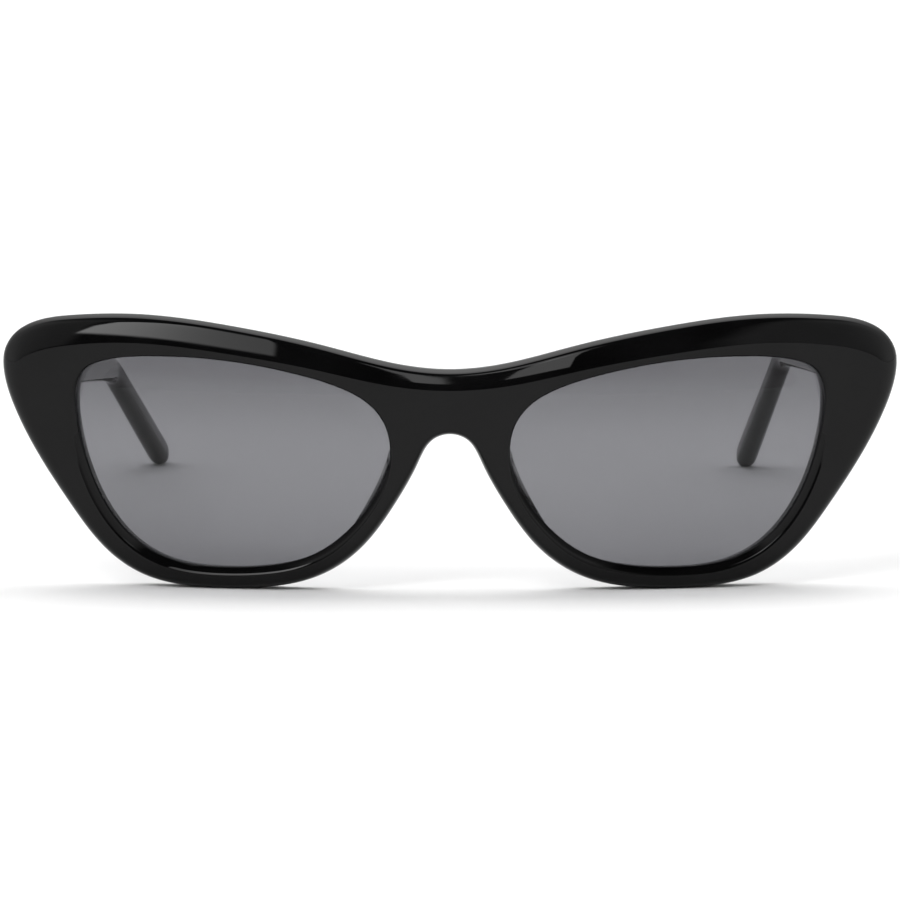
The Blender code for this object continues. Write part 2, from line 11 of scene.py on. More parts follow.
import bmesh
import bpy
import numpy as np
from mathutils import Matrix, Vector


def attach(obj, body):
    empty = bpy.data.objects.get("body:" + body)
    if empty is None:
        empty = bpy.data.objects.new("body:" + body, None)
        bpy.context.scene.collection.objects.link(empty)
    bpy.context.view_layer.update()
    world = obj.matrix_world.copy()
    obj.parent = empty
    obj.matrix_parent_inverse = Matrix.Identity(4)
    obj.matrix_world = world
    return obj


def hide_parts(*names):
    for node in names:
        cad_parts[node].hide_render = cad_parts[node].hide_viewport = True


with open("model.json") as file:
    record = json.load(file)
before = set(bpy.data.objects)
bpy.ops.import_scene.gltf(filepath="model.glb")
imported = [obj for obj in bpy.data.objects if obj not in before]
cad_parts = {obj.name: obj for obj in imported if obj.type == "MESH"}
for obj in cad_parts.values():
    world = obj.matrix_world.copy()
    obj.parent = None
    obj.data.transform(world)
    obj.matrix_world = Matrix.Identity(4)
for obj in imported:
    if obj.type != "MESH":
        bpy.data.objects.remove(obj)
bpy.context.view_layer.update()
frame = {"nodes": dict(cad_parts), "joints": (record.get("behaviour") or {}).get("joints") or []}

MM = 0.001
SIDES = {"left": 1, "right": -1}

# Camera
CAMERA_DISTANCE = 0.850
CAMERA_HEIGHT = 0.1297
CAMERA_DOWN = math.radians(7.122)
CAMERA_LENS = 212.8
CAMERA_SENSOR = 36.0

# Light. Directions are in degrees: azimuth to the viewer's right of straight ahead of the sunglasses, and
# height above the horizon. A pair that fades holds where it starts and where it ends.
# The dome behind and above is dimmer near the horizon.
DOME_HEIGHTS = (30.0, 70.0)
DOME_LIGHT = (1.05, 3.35)

# The dark room in front. Its edge overhead is given by how far ahead a unit direction points. Its right
# side leans outwards with height, and further aside it is grey up to a height.
ROOM_EDGE = (-0.12, -0.06)
ROOM_DARK = 0.06
ROOM_LEFT = (-48.0, -44.0)
ROOM_RIGHT = (29.0, 17.0)
ROOM_RIGHT_SLANT = 1.4
HORIZON_FADE = (0.0, 4.0)
ROOM_SIDE_SPAN = (45.0, 80.0)
ROOM_SIDE_LIGHT = (0.6, 1.3)
ROOM_SIDE_HEIGHTS = (50.0, 68.0)

# The wide soft box in the dark room, brighter at its left end. Its ends lean by degrees for each degree up.
WIDE_BOX_SPAN = (-47.0, -9.2)
WIDE_BOX_SLANTS = (0.65, 0.15)
WIDE_BOX_HEIGHTS = (37.8, 74.0)
WIDE_BOX_TOP_FADE = 12.0
WIDE_BOX_FOOT_SOFTNESS = 0.8
WIDE_BOX_END_SOFTNESS = 0.5
WIDE_BOX_LIGHT = (9.6, 3.2)

# Strip lights near the brow, in millimetres: each with its left and right side, counted to the viewer's
# right of the middle, and its radiance
STRIPS = {"right_strip": (4.9, 19.5, 3.9), "bridge_strip": (-3.1, -0.3, 4.2)}
STRIP_DISTANCE = 100.0
STRIP_LENGTH = 40.0
STRIP_HEIGHT = math.radians(50)

# Floor, and where on the middle line the lights aim and the camera's distance is counted from
FLOOR_SIZE = 14.0
FLOOR_WHITE = 0.9
BROW_MIDDLE = 13.0
BRIDGE_TOP = 14.0

# Brow facet: its slope at the crease and at the shoulder, how much of the inset is left above it, and
# how far the crowned top rises past the CAD's outline
BROW_SLOPES = (math.radians(22.5), math.radians(28))
BROW_FLAT_TO = 0.24
BROW_CROWN = 0.2
FACET_STEPS = 6
SHOULDER_STEPS = 9
SHOULDER_PULL = 0.6

# Eased edge between face and brow facet: inset beyond the crease, and depth. Then how far the crown has
# come down at these depths, and where the round back edge starts.
CREASE = ((0.12, 0.0), (0.03, 0.012), (-0.05, 0.045))
CROWN_BACK = ((0.02, 3.6), (0.08, 3.9))
CROWN_DROP = 0.13

# How much the temples widen at the tips, and from how far down the temple
TIP_FLARE = 0.7
FLARE_START = 105.0

# Chamfer round the lens opening with eased edges: outset and depth, from its foot at the lens to the face.
# Then the depth of the round outer edge, and how far the eased back edge runs along and down.
FINE_CHAMFER = (
    (0.0, 1.4),
    (0.02, 1.31),
    (0.05, 1.25),
    (0.08, 1.207),
    (0.84, 0.27),
    (0.88, 0.225),
    (0.93, 0.187),
    (0.95, 0.173),
    (1.15, 0.043),
    (1.18, 0.027),
    (1.22, 0.01),
    (1.28, 0.0),
)
ROUND_EDGE_DEPTH = 2.4
LIP_EASE = (0.35, 0.1)

# Middle of the lens's bulge, how far it reaches, and the share below which it falls no further
LENS_CENTRE = (36.0, -1.7)
LENS_REACH = (26.0, 17.4)
LENS_LOWEST = -0.4

# Section of a nose pad: share of the way from outline to opening, and share of the pad's height
PAD_SECTION = (
    (0.10, -0.1),
    (0.22, 0.45),
    (0.42, 0.85),
    (0.68, 1.0),
    (0.98, 0.97),
    (1.16, 0.80),
    (1.12, 0.40),
    (0.92, -0.1),
)

# How soon a pad swells from its ends to its full height, and its width at the ends
PAD_SWELL = 0.8
PAD_END_WIDTH = 0.55
PAD_HALF_LENGTH = 0.492

ACETATE_IOR = 1.275
PAD_IOR = 1.45
LENS_REFLECTION = 0.021

# What one face of the lens lets through, from its foot (0) to its brow (1): red and green, then blue.
# Towards the foot it holds painted shade: the floor's shadow under the frame, seen through the lens.
LENS_TINT_AND_SHADE_HEIGHTS = (0.002, 0.040)
LENS_TINT_AND_SHADE = {
    0.0: (0.386, 0.4),
    0.3: (0.445, 0.46),
    0.62: (0.452, 0.468),
    0.8: (0.388, 0.402),
    1.0: (0.338, 0.35),
}

# Front: wrap, stance and thickness
WRAP_RADIUS = 230.0
CROWN_RADIUS = 400.0
LEAN = math.radians(3.6)
DATUM_HEIGHT = 22.05
FRONT_DEPTH = 4.8
EDGE_ROUND = 0.7
OUTER_WALL_START = 3.3

# Outline of one half, from the top of the bridge round to the nose arch: u, v, the inset at which the
# flat face ends, and how much of that inset is a flat brow facet (1) rather than a round edge (0)
OUTLINE = (
    (0.0, 13.8, 2.7, 1.0),
    (9.0, 14.7, 2.9, 1.0),
    (20.8, 17.5, 3.3, 1.0),
    (35.7, 20.3, 3.7, 1.0),
    (51.0, 21.8, 3.9, 1.0),
    (63.5, 21.2, 4.2, 1.0),
    (69.9, 19.9, 4.5, 0.8),
    (73.2, 17.9, 4.5, 0.5),
    (74.8, 15.2, 4.2, 0.25),
    (74.9, 12.0, 3.7, 0.1),
    (73.0, 6.0, 3.0, 0.0),
    (68.8, -1.7, 2.6, 0.0),
    (63.4, -9.5, 2.4, 0.0),
    (56.9, -17.1, 2.0, 0.0),
    (50.6, -20.9, 1.7, 0.0),
    (44.0, -22.3, 1.5, 0.0),
    (37.0, -22.6, 1.5, 0.0),
    (29.5, -22.1, 1.5, 0.0),
    (22.0, -20.3, 1.4, 0.0),
    (14.7, -15.5, 1.3, 0.0),
    (8.8, -7.7, 1.2, 0.0),
    (5.2, -1.2, 1.1, 0.0),
    (2.6, 2.8, 1.0, 0.0),
    (0.0, 3.6, 1.0, 0.0),
)

# Lens opening of one half, from the nose side over the top: u, v
LENS_OPENING = (
    (9.75, 2.2),
    (10.7, 5.6),
    (13.3, 8.8),
    (17.6, 11.2),
    (23.3, 13.0),
    (31.0, 14.6),
    (40.0, 15.6),
    (48.5, 15.7),
    (55.8, 14.95),
    (60.2, 12.95),
    (61.75, 9.6),
    (61.75, 4.8),
    (60.1, -2.4),
    (56.35, -10.15),
    (51.0, -15.6),
    (45.0, -18.15),
    (37.5, -18.85),
    (29.5, -18.35),
    (22.5, -16.45),
    (16.3, -11.9),
    (11.7, -5.7),
    (9.8, -0.8),
)

# How much of the chamfer there is at these places on the opening, counted in its points. The brow side
# has only a small round edge.
CHAMFER_SHARE = (
    (0.0, 0.25),
    (9.0, 0.25),
    (10.1, 0.4),
    (11.2, 0.75),
    (12.0, 1.0),
    (18.5, 1.0),
    (19.8, 0.8),
    (20.8, 0.4),
    (21.6, 0.25),
)

# Which place on the opening faces which place on the outline, both counted in their points
FACING = (
    (0.0, 1.6),
    (1.0, 2.3),
    (2.0, 3.7),
    (3.0, 5.5),
    (4.0, 7.1),
    (6.0, 8.6),
    (8.0, 9.4),
    (10.0, 10.8),
    (11.0, 11.9),
    (12.0, 12.9),
    (13.0, 13.9),
    (15.0, 15.1),
    (17.0, 17.0),
    (18.0, 18.0),
    (20.0, 19.9),
    (21.0, 20.8),
    (23.0, 21.7),
)

# Lens and its groove
LENS_THICKNESS = 1.8
LENS_MIDDLE = 2.45
LENS_BULGE = 1.2
LENS_BEVEL = 0.9
LENS_INSET = 0.15
GROOVE = 0.95
BACK_LIP = 0.45

# Nose pads
PAD_HEIGHT = 6.2
PAD_SPAN = (19.0, 21.8)
PAD_MIDDLE = 0.55

# Hinge: the joint plane stands behind the bridge, the axis behind the joint plane. Each plate's pocket is
# a gap wider than the plate, and its cutter comes out past the open side.
JOINT_PLANE = 19.0
JOINT_GAP = 0.15
HINGE_HEIGHT = 12.3
TEMPLE_INNER = 66.4
AXIS_BEHIND = 1.55
AXIS_INBOARD = 1.6
LEAF_THICKNESS = 1.15
LEAF_HEIGHT = 7.8
FRONT_LEAF_WIDTH = 4.0
TEMPLE_LEAF_LENGTH = 9.0
POCKET_GAP = 0.12
POCKET_OPEN = 1.0
FRONT_LEAF_OUTBOARD = 1.3
TEMPLE_LEAF_SHORTER = 0.8

# End piece of the front, which carries the hinge
LUG_INNER = 61.3
LUG_OUTER = 70.5
LUG_HEIGHT = 10.4
LUG_ROUND = 1.8
LUG_SUNK = 0.6
LUG_EDGE = 0.5
LUG_STRAIGHT_END = 2.0

# Temples. The long edges grow rounder over a stretch, and changes of slope are eased that far either way.
# The stations down a temple are closer in its bend.
TEMPLE_THICKNESS = 3.8
TIP_THICKNESS = 3.1
BEND_RADIUS = 16.0
TIP_ROUND = 4.5
TEMPLE_CORNER = 1.0
EAR_CORNER = 1.4
CORNER_GROWS = (60.0, 110.0)
SLOPE_EASE = 6
STRAIGHT_STEP = 2.0
BEND_STEP = 0.8
TEMPLE_HEIGHTS = (
    (0.0, 9.4),
    (12.0, 8.8),
    (40.0, 6.6),
    (70.0, 5.4),
    (100.0, 4.7),
    (118.0, 4.7),
    (150.0, 5.0),
)

# Each temple was bent to fit by hand, so the two differ a little. Angles are in degrees.
TEMPLE_FIT = {
    "left": {
        "pitch": 8.7,
        "inward": 3.5,
        "bend_at": 107.6,
        "drop": 27.8,
        "ear_inward": 4.7,
        "ear_length": 42.0,
    },
    "right": {
        "pitch": 10.4,
        "inward": 2.7,
        "bend_at": 114.7,
        "drop": 22.95,
        "ear_inward": 9.4,
        "ear_length": 38.0,
    },
}


# ---------------------------------------------------------------- curves


def spline(points, closed):
    """A smooth curve through the points, counted in points. Its first two columns set the spacing."""
    knots = np.array(points, dtype=float)
    if closed:
        knots = np.vstack([knots, knots[0]])
    step = np.hypot(*np.diff(knots[:, :2], axis=0).T)
    rise = np.diff(knots, axis=0) / step[:, None]
    count = len(knots)
    system = np.zeros((count, count))
    right = np.zeros_like(knots)
    for i in range(1, count - 1):
        system[i, i - 1 : i + 2] = step[i], 2 * (step[i - 1] + step[i]), step[i - 1]
        right[i] = 3 * (step[i] * rise[i - 1] + step[i - 1] * rise[i])
    if closed:
        system[0, 0], system[0, -1] = 1, -1
        system[-1, [0, 1, -2, -1]] = 2 * step[-1], step[-1], step[0], 2 * step[0]
        right[-1] = 3 * (step[-1] * rise[0] + step[0] * rise[-1])
    else:
        system[0, 0] = system[-1, -1] = 1
        right[0, 0], right[-1, 0] = 1, -1
    slope = np.linalg.solve(system, right)

    def place(t):
        t = t % (count - 1) if closed else min(max(t, 0.0), count - 1.0)
        i = min(int(t), count - 2)
        s, h = t - i, step[i]
        return (
            (1 + 2 * s) * (1 - s) ** 2 * knots[i]
            + s * (1 - s) ** 2 * h * slope[i]
            + s * s * (3 - 2 * s) * knots[i + 1]
            + s * s * (s - 1) * h * slope[i + 1]
        )

    return place


outline = spline(OUTLINE, closed=False)
opening = spline(LENS_OPENING, closed=True)


def offset(curve, t, distance):
    """The point at this distance to the right of the curve's way, where both outlines have their inside."""
    along = curve(t + 1e-3)[:2] - curve(t - 1e-3)[:2]
    along /= np.hypot(*along)
    return curve(t)[:2] + distance * np.array((along[1], -along[0]))


def facing(t):
    """The place on the opening that faces this place on the outline."""
    stations = np.array(FACING)
    return float(np.interp(t, stations[:, 0], stations[:, 1]))


def wrap(u, v, depth):
    """From the flat drawing to the frame's own axes."""
    radius = WRAP_RADIUS - depth
    back = WRAP_RADIUS - radius * math.cos(u / WRAP_RADIUS) + v * v / (2 * CROWN_RADIUS)
    return Vector((radius * math.sin(u / WRAP_RADIUS), back, v))


def wrapped_back(x, v, depth):
    """How far back the wrapped sheet at this depth lies."""
    return WRAP_RADIUS - math.sqrt((WRAP_RADIUS - depth) ** 2 - x * x) + v * v / (2 * CROWN_RADIUS)


# ---------------------------------------------------------------- pieces


LEAN_COS, LEAN_SIN = math.cos(LEAN), math.sin(LEAN)
hinge_joint = next(joint for joint in frame["joints"] if joint["child"] == "left_temple")
FRAME_Y = hinge_joint["pos_m"][1] / MM - (JOINT_PLANE + AXIS_BEHIND) * LEAN_COS + HINGE_HEIGHT * LEAN_SIN


def stand(point):
    """From the frame's own axes in millimetres to the row frame in metres, standing on the floor."""
    x, y, z = point
    height = DATUM_HEIGHT + z * LEAN_COS + y * LEAN_SIN
    return Vector((x, FRAME_Y + y * LEAN_COS - z * LEAN_SIN, max(height, 0.0))) * MM


def add_piece(name, points, faces, look=None, sharp=35):
    """A smooth mesh object from points in the frame's own axes."""
    mesh = bpy.data.meshes.new(name)
    mesh.from_pydata([stand(point) for point in points], [], faces)
    shape = bmesh.new()
    shape.from_mesh(mesh)
    bmesh.ops.recalc_face_normals(shape, faces=shape.faces)
    shape.to_mesh(mesh)
    shape.free()
    mesh.shade_smooth()
    mesh.set_sharp_from_angle(angle=math.radians(sharp))
    made = bpy.data.objects.new(name, mesh)
    bpy.context.scene.collection.objects.link(made)
    if look:
        mesh.materials.append(look)
    return made


def carve(target, tool, operation, sharp=35):
    """Applies a Boolean at once and removes the tool."""
    step = target.modifiers.new(tool.name, "BOOLEAN")
    step.operation = operation
    step.solver = "EXACT"
    step.object = tool
    graph = bpy.context.evaluated_depsgraph_get()
    target.data = bpy.data.meshes.new_from_object(target.evaluated_get(graph))
    target.modifiers.remove(step)
    target.data.shade_smooth()
    target.data.set_sharp_from_angle(angle=math.radians(sharp))
    bpy.data.objects.remove(tool)


def tube_faces(rings, count, first=0):
    """Quads between rings of the same number of points, and a cap on each end."""
    faces = []
    for ring in range(rings - 1):
        base = first + ring * count
        for i in range(count):
            j = (i + 1) % count
            faces.append((base + i, base + j, base + count + j, base + count + i))
    faces.append(tuple(first + i for i in range(count)))
    faces.append(tuple(first + (rings - 1) * count + i for i in range(count)))
    return faces


def circle(radius, sides, start=0.0, sweep=2 * math.pi):
    """Points round a circle or an arc. An arc has a point on each end."""
    closing = 0 if abs(sweep - 2 * math.pi) < 1e-9 else 1
    angles = [start + sweep * i / (sides - closing) for i in range(sides)]
    return [(radius * math.cos(a), radius * math.sin(a)) for a in angles]


def prism(section, low, high):
    """Points and faces of a section in X and Y, drawn up from low to high."""
    points = [(x, y, z) for z in (low, high) for x, y in section]
    return points, tube_faces(2, len(section))


def rounded_box(half_width, half_height, corner, per_corner):
    """Corner-rounded rectangle as points round it."""
    section = []
    for quarter in range(4):
        turn = quarter * math.pi / 2
        centre_x = (half_width - corner) * (1 if quarter in (0, 3) else -1)
        centre_y = (half_height - corner) * (1 if quarter in (0, 1) else -1)
        for x, y in circle(corner, per_corner, turn, math.pi / 2):
            section.append((centre_x + x, centre_y + y))
    return section


def at_axis(points, sign):
    """Points in a hinge's own axes, moved into the frame's axes."""
    x0, y0, z0 = axis_place(sign)
    return [(x + x0, y + y0, z + z0) for x, y, z in points]


def axis_place(sign):
    """Where a hinge's axis crosses the middle of its leaves."""
    return (sign * (TEMPLE_INNER - AXIS_INBOARD), JOINT_PLANE + AXIS_BEHIND, HINGE_HEIGHT)


# ---------------------------------------------------------------- front


def brow_edge(inset):
    """Face edge, slightly crowned facet, shoulder and crowned top, as inset and depth."""
    shape = [(inset + beyond, depth) for beyond, depth in CREASE]
    place = np.array(shape[-1])
    width = (place[0] - BROW_FLAT_TO * inset) / FACET_STEPS
    for step in range(FACET_STEPS):
        slope = BROW_SLOPES[0] + (BROW_SLOPES[1] - BROW_SLOPES[0]) * (step + 0.5) / FACET_STEPS
        place = place + np.array((-width, width * math.tan(slope)))
        shape.append(tuple(place))
    end = np.array((-BROW_CROWN, OUTER_WALL_START))
    corner = np.array((-BROW_CROWN, place[1] + (place[0] + BROW_CROWN) * math.tan(BROW_SLOPES[1])))
    near, far = place + SHOULDER_PULL * (corner - place), end + SHOULDER_PULL * (corner - end)
    for s in np.linspace(0, 1, SHOULDER_STEPS + 1)[1:]:
        point = (1 - s) ** 3 * place + 3 * s * (1 - s) ** 2 * near + 3 * s * s * (1 - s) * far + s**3 * end
        shape.append(tuple(point))
    return shape + [(drop - BROW_CROWN, depth) for drop, depth in CROWN_BACK]


def round_edge(inset, count):
    """Quarter ellipse from the face to the outer wall."""
    turns = np.linspace(0, math.pi / 2, count)
    return [(inset * (1 - math.sin(a)), ROUND_EDGE_DEPTH * (1 - math.cos(a))) for a in turns]


def outer_profile(t):
    """Inset from the outline and depth, from the face over the brow or round edge to the back."""
    inset, facet = outline(t)[2:]
    facet = min(max(facet, 0.0), 1.0)
    brow = brow_edge(inset)
    shape = []
    for a, b in zip(brow, round_edge(inset, len(brow))):
        shape.append(tuple(facet * p + (1 - facet) * q for p, q in zip(a, b)))
    lift = facet * (BROW_CROWN - CROWN_DROP)
    for x, y in circle(EDGE_ROUND, 6, math.pi, -math.pi / 2):
        shape.append((EDGE_ROUND + x * (1 + lift / EDGE_ROUND), FRONT_DEPTH - EDGE_ROUND + y))
    return shape


def inner_profile(around):
    """Outset from the lens opening and depth, from the back over the groove to the face."""
    places = np.array(CHAMFER_SHARE)
    share = float(np.interp(around % len(LENS_OPENING), places[:, 0], places[:, 1]))
    long, short = LIP_EASE
    lip = [(BACK_LIP + long, FRONT_DEPTH), (BACK_LIP + short, FRONT_DEPTH - short)]
    lip += [(BACK_LIP, FRONT_DEPTH - long), (BACK_LIP, LENS_MIDDLE + GROOVE - BACK_LIP)]
    lip += [(GROOVE, LENS_MIDDLE), (0.0, LENS_MIDDLE - GROOVE)]
    return lip + [(share * outset, share * depth) for outset, depth in FINE_CHAMFER]


def strip(start, end, count):
    """Points between two (u, v, depth) points, without the ends."""
    start, end = np.array(start), np.array(end)
    return [tuple(start + s * (end - start)) for s in np.linspace(0, 1, count + 2)[1:-1]]


def front_loops(per_point, across_bridge, strips):
    """Rings round the rim's section. Those across the bridge are open, from its back to its face."""
    loops = []
    last = len(OUTLINE) - 1
    for t in np.linspace(0, last, last * per_point + 1):
        outer = [(*offset(outline, t, inset), depth) for inset, depth in outer_profile(t)]
        around = facing(t)
        inner = [(*offset(opening, around, -outset), depth) for outset, depth in inner_profile(around)]
        back = strip(outer[-1], inner[0], strips)
        face = strip(inner[-1], outer[0], strips)
        loops.append((outer, back + inner + face))
    low, high = loops[-1][0], loops[0][0]
    start, end = facing(last), facing(0) + len(LENS_OPENING)
    for part in np.linspace(0, 1, across_bridge + 2)[1:-1]:
        face_point = (0.0, (1 - part) * low[0][1] + part * high[0][1], 0.0)
        back_point = (0.0, (1 - part) * low[-1][1] + part * high[-1][1], FRONT_DEPTH)
        around = start + part * (end - start)
        inner = [(*offset(opening, around, -outset), depth) for outset, depth in inner_profile(around)]
        back = strip(back_point, inner[0], strips)
        face = strip(inner[-1], face_point, strips)
        loops.append(([face_point, back_point], back + inner + face))
    return loops


def build_front(look):
    """The rim and bridge in one mirrored mesh, with the hinge blocks joined on and pockets cut."""
    points, loops = [], []
    for outer, inner in front_loops(per_point=10, across_bridge=16, strips=5):
        start = len(points)
        points += [tuple(wrap(0.0 if abs(u) < 1e-2 else u, v, depth)) for u, v, depth in outer + inner]
        ring = list(range(start, len(points)))
        loops.append((ring[: len(outer)], ring[len(outer) :]))
    faces = []
    for (outer_a, inner_a), (outer_b, inner_b) in zip(loops, loops[1:] + loops[:1]):
        if len(outer_a) == len(outer_b) > 2:
            ring_a, ring_b = outer_a + inner_a, outer_b + inner_b
            ring_a, ring_b = ring_a + ring_a[:1], ring_b + ring_b[:1]
        else:
            ring_a = [outer_a[-1], *inner_a, outer_a[0]]
            ring_b = [outer_b[-1], *inner_b, outer_b[0]]
        for i in range(len(ring_a) - 1):
            faces.append((ring_a[i], ring_a[i + 1], ring_b[i + 1], ring_b[i]))
    mirrored = [(-x, y, z) for x, y, z in points]
    both = [tuple(i + len(points) for i in reversed(face)) for face in faces]
    front = add_piece("acetate_front", points + mirrored, faces + both, look)
    shape = bmesh.new()
    shape.from_mesh(front.data)
    bmesh.ops.remove_doubles(shape, verts=[v for v in shape.verts if abs(v.co.x) < 1e-9], dist=1e-6)
    bmesh.ops.recalc_face_normals(shape, faces=shape.faces)
    shape.to_mesh(front.data)
    shape.free()
    for side, sign in SIDES.items():
        carve(front, build_lug(side, sign), "UNION")
        pocket, pocket_faces = front_pocket(sign, POCKET_GAP)
        carve(front, add_piece(f"{side}_front_pocket", at_axis(pocket, sign), pocket_faces), "DIFFERENCE")
    return front


def build_lug(side, sign):
    """The block behind the end of the front, which carries the hinge."""
    middle = (LUG_INNER + LUG_OUTER) / 2
    width = (LUG_OUTER - LUG_INNER) / 2
    end = JOINT_PLANE - JOINT_GAP
    rings = [(None, 0.0), (end - LUG_STRAIGHT_END, 0.0)]
    rings += [(end - LUG_EDGE + y, LUG_EDGE - x) for x, y in circle(LUG_EDGE, 5, 0.0, math.pi / 2)]
    points = []
    for back, less in rings:
        for x, z in rounded_box(width - less, LUG_HEIGHT / 2 - less, LUG_ROUND, 8):
            x, z = middle + x, HINGE_HEIGHT + z
            points.append((sign * x, back or wrapped_back(x, z, FRONT_DEPTH - LUG_SUNK), z))
    return add_piece(f"{side}_lug", points, tube_faces(len(rings), 32))


# ---------------------------------------------------------------- lenses and nose pads


def lens_place(u, v, depth):
    """A point of the lens, which is more strongly curved than the front and so bulges forward."""
    out = 1 - ((u - LENS_CENTRE[0]) / LENS_REACH[0]) ** 2 - ((v - LENS_CENTRE[1]) / LENS_REACH[1]) ** 2
    return wrap(u, v, depth - LENS_BULGE * max(out, LENS_LOWEST))


def build_lens(side, sign, look):
    """A lens with a bevelled edge that sits in the groove."""
    around = np.linspace(0, len(LENS_OPENING), 8 * len(LENS_OPENING) + 1)[:-1]
    centre = np.array(LENS_CENTRE)
    front, back = LENS_MIDDLE - LENS_THICKNESS / 2, LENS_MIDDLE + LENS_THICKNESS / 2
    shares = [*np.linspace(0.06, 0.96, 16), 1.0]
    plan = [(share, front) for share in shares] + [("edge", LENS_MIDDLE)]
    plan += [(share, back) for share in reversed(shares)]
    points = [lens_place(*centre, front), lens_place(*centre, back)]
    for share, depth in plan:
        for t in around:
            if share == "edge":
                u, v = offset(opening, t, LENS_INSET - LENS_BEVEL)
            else:
                u, v = centre + share * (offset(opening, t, LENS_INSET) - centre)
            points.append(lens_place(u, v, depth))
    count = len(around)
    faces = tube_faces(len(plan), count, first=2)[:-2]
    last = 2 + (len(plan) - 1) * count
    for i in range(count):
        j = (i + 1) % count
        faces.append((0, 2 + i, 2 + j))
        faces.append((1, last + j, last + i))
    points = [(sign * x, y, z) for x, y, z in points]
    return add_piece(f"tinted_lens_with_painted_shade_{side}", points, faces, look)


def outline_facing(around):
    """The place on the outline that faces this place on the opening."""
    stations = np.array(FACING)
    return float(np.interp(around, stations[:, 1], stations[:, 0]))


def build_nose_pad(side, sign, look):
    """A fin along the nose side of the rim, grown out of its back and leaning away from the nose."""
    section = spline(PAD_SECTION, closed=True)
    sides = np.linspace(0, len(PAD_SECTION), 33)[:-1]
    stations = 0.5 - PAD_HALF_LENGTH * np.cos(np.linspace(0, math.pi, 49))
    points = []
    for part in stations:
        around = PAD_SPAN[0] + part * (PAD_SPAN[1] - PAD_SPAN[0])
        near = outline(outline_facing(around))[:2]
        far = opening(around)
        swell = math.sin(math.pi * part) ** PAD_SWELL
        spread = PAD_END_WIDTH + (1 - PAD_END_WIDTH) * swell
        for across, rise in (section(s)[:2] for s in sides):
            u, v = near + (PAD_MIDDLE + spread * (across - PAD_MIDDLE)) * (far - near)
            x, y, z = wrap(u, v, FRONT_DEPTH + rise * PAD_HEIGHT * swell)
            points.append((sign * x, y, z))
    return add_piece(f"nose_pad_{side}", points, tube_faces(len(stations), len(sides)), look)


# ---------------------------------------------------------------- temples and hinges


def inward_of(sign):
    """How far the temple on this side turns inwards."""
    side = "left" if sign > 0 else "right"
    return math.radians(TEMPLE_FIT[side]["inward"])


def front_pocket(sign, gap):
    """Room for the plate let into the back of the end piece, a gap wider all round and open behind."""
    face = -AXIS_BEHIND - JOINT_GAP
    outer = FRONT_LEAF_OUTBOARD + gap
    inner = outer - FRONT_LEAF_WIDTH - 2 * gap
    deep = face - LEAF_THICKNESS - gap
    open_side = face + POCKET_OPEN
    corners = ((inner, deep), (outer, deep), (outer, open_side), (inner, open_side))
    section = [(sign * x, y) for x, y in corners]
    half = LEAF_HEIGHT / 2 + gap
    return prism(section, -half, half)


def temple_pocket(sign, gap, slope):
    """Room for the plate let into the inner face of the temple, following its slope, and open inside."""
    face = AXIS_INBOARD
    deep = face + LEAF_THICKNESS + gap
    near = -AXIS_BEHIND + JOINT_GAP - POCKET_OPEN
    far = TEMPLE_LEAF_LENGTH + gap
    half = LEAF_HEIGHT / 2 - TEMPLE_LEAF_SHORTER + gap
    points = []
    for y in (near, far):
        along = y + AXIS_BEHIND - JOINT_GAP
        drop = -slope * along
        side = -math.tan(inward_of(sign)) * along
        open_side = face + side - POCKET_OPEN
        for x, z in ((open_side, -half), (deep + side, -half), (deep + side, half), (open_side, half)):
            points.append((sign * x, y, z + drop))
    return points, tube_faces(2, 4)


def temple_way(distance, fit, straight, curve):
    """Unit direction of a temple on the +X side at this distance from its butt."""
    bent = min(max((distance - straight) / curve, 0.0), 1.0)
    pitch = math.radians(fit["pitch"] + fit["drop"] * bent)
    inward = math.radians(fit["inward"] + fit["ear_inward"] * bent)
    level = math.cos(pitch)
    return np.array((-math.sin(inward) * level, math.cos(inward) * level, -math.sin(pitch)))


def temple_stations(fit):
    """Stations down the temple: distance, middle point, way along it, and how far into the round tip."""
    curve = BEND_RADIUS * math.radians(fit["drop"])
    straight = fit["bend_at"] - curve / 2
    ear_end = straight + curve + fit["ear_length"] - curve / 2
    distances = [*np.arange(0, straight, STRAIGHT_STEP), *np.arange(straight, straight + curve, BEND_STEP)]
    distances += [*np.arange(straight + curve, ear_end - STRAIGHT_STEP / 2, STRAIGHT_STEP), ear_end]
    distances += [ear_end + TIP_ROUND * math.sin(a) for a in np.radians(np.linspace(6, 87, 14))]
    place = np.array((AXIS_INBOARD + TEMPLE_THICKNESS / 2, -AXIS_BEHIND + JOINT_GAP, 0.0))
    stations = []
    reached = 0.0
    for distance in distances:
        steps = max(1, math.ceil(2 * (distance - reached)))
        for i in range(steps):
            middle = reached + (distance - reached) * (i + 0.5) / steps
            place = place + temple_way(middle, fit, straight, curve) * (distance - reached) / steps
        reached = distance
        tip = max(0.0, (distance - ear_end) / TIP_ROUND)
        stations.append((distance, place, temple_way(distance, fit, straight, curve), tip))
    return stations


def temple_section(station, half_width, half_height, corner, sign, butt):
    """A rounded section square to the path, or lying in the butt plane."""
    _, place, way, _ = station
    up = np.array((0.0, -way[2], way[1]))
    up /= np.linalg.norm(up)
    across = np.cross(way, up)
    points = []
    for x, z in rounded_box(half_width, half_height, corner, 8):
        point = place + across * x + up * z
        if butt:
            point = point - way * (point[1] - place[1]) / way[1]
        points.append((sign * point[0], point[1], point[2]))
    return points


def temple_height(distance):
    """The height along the temple, with the changes of slope eased."""
    heights = np.array(TEMPLE_HEIGHTS)
    near = distance + np.linspace(-SLOPE_EASE, SLOPE_EASE, 2 * SLOPE_EASE + 1)
    return float(np.interp(near, heights[:, 0], heights[:, 1]).mean())


def temple_corner(distance):
    """The radius of the long edges, which grows towards the ear."""
    return float(np.interp(distance, CORNER_GROWS, (TEMPLE_CORNER, EAR_CORNER)))


